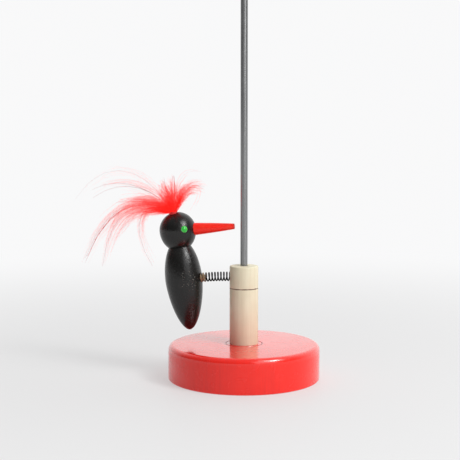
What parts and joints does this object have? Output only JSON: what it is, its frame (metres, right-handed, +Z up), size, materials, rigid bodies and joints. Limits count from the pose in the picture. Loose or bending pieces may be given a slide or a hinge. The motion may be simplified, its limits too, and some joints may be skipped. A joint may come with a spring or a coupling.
{
  "type": "pecking bird toy",
  "caption": "Wooden woodpecker hung by a coil spring from a loose slider that pecks its way down a steel rod on a round base.",
  "frame": {"origin": "centre of the base disc's underside", "axes": "+Z up along the rod; the bird hangs on the -X side with its beak pointing along +X to the rod; +Y is the bird's left"},
  "size_m": [0.1377, 0.085, 0.3542],
  "materials": {
    "red_stained_wood": "satin",
    "natural_wood": "matte",
    "rod_steel": "satin",
    "spring_steel": "satin",
    "black_lacquered_wood": "satin",
    "beak_red_wood": "satin",
    "eye_green": "gloss",
    "glued_wood": "satin",
    "feather_quill": "matte",
    "feather_down": "matte"
  },
  "bodies": {
    "stand": {"base_disc": "red_stained_wood", "stop_post": "natural_wood"},
    "rod": {"rod": "rod_steel", "top_knob": "red_stained_wood"},
    "slider": {"slider": "natural_wood"},
    "spring": {"spring": "spring_steel"},
    "bird": {"bird_body": "black_lacquered_wood", "bird_head": "black_lacquered_wood", "neck_dowel": "natural_wood", "beak": "beak_red_wood", "eye_left": "eye_green", "eye_right": "eye_green", "breast_peg": "glued_wood", "crest_binding": "feather_quill", "plume_rear_low": "feather_down", "plume_rear_high": "feather_down", "plume_rear_top": "feather_down", "plume_upright_rear": "feather_down", "plume_upright_front": "feather_down", "plume_front_curl": "feather_down", "plume_nape": "feather_down", "plume_side_left": "feather_down", "plume_side_right": "feather_down"}
  },
  "joints": [
    {"name": "swivel", "type": "hinge", "parent": "stand", "child": "rod", "pos_m": [0, 0, 0.0195], "axis": [0, 0, 1], "continuous": true},
    {"name": "slide", "type": "slide", "parent": "rod", "child": "slider", "axis": [0, 0, 1], "range_m": [0, 0.245]},
    {"name": "peck", "type": "hinge", "parent": "slider", "child": "spring", "pos_m": [-0.014, 0, 0.0571], "axis": [0, 1, 0], "range_deg": [-18, 6], "stiffness_Nm_per_rad": 0.0271, "springref_deg": 4.88, "deforming": ["spring"]},
    {"name": "sway", "type": "hinge", "parent": "spring", "child": "bird", "pos_m": [-0.018, 0, 0.0569], "axis": [0, 0, 1], "range_deg": [-8, 8], "stiffness_Nm_per_rad": 0.0271}
  ]
}
